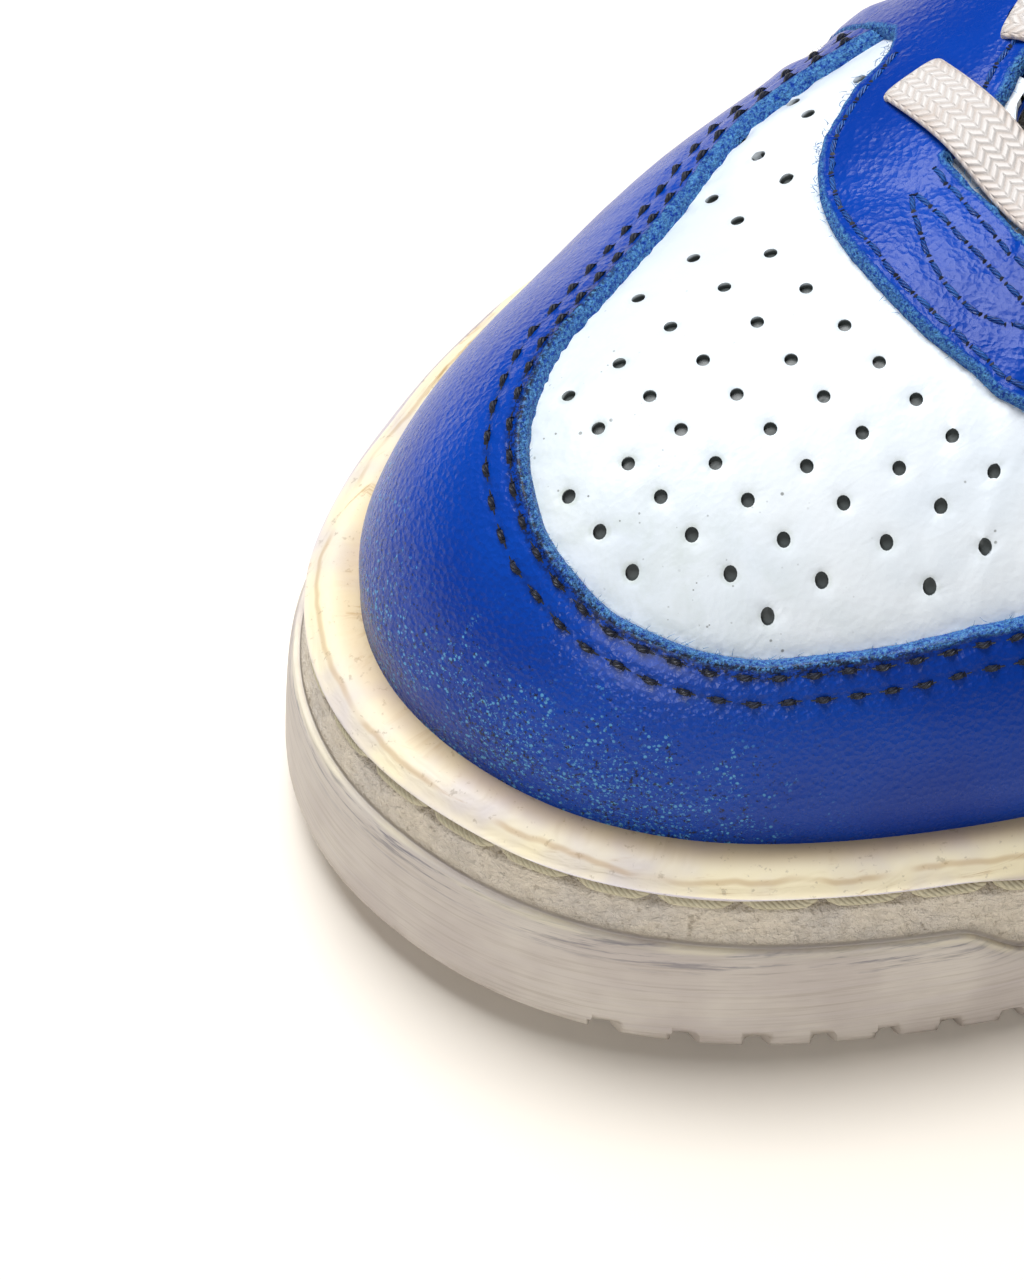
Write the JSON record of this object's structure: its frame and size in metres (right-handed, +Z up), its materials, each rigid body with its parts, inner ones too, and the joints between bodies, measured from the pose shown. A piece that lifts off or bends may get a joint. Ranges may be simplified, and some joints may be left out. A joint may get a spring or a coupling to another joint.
{
  "type": "worn low court sneaker",
  "caption": "Worn low court sneaker for the left foot: moulded rubber cup sole, hollow leather upper with raised overlays, padded tongue, insole and flat laces.",
  "frame": {"origin": "on the floor, under the middle of the sole's length and width", "axes": "+X from heel to toe, +Y to the wearer's left, which is this left shoe's outer side, +Z up"},
  "size_m": [0.298, 0.1092, 0.1275],
  "materials": {
    "sole_rubber": "matte, yellowed at the lip",
    "white_leather": "satin, slightly soiled",
    "blue_leather": "satin pebbled leather, scuffed at the toe",
    "tongue_fabric": "matte woven",
    "lace_cotton": "matte flat weave, stained",
    "insole_fabric": "matte"
  },
  "bodies": {
    "root": {"cupsole": "sole_rubber", "insole": "insole_fabric", "upper": "white_leather", "mudguard": "blue_leather", "eyestay": "blue_leather", "heel_counter": "blue_leather", "tongue": "tongue_fabric", "lace_bar": "lace_cotton", "lace_crossings": "lace_cotton"}
  },
  "joints": []
}
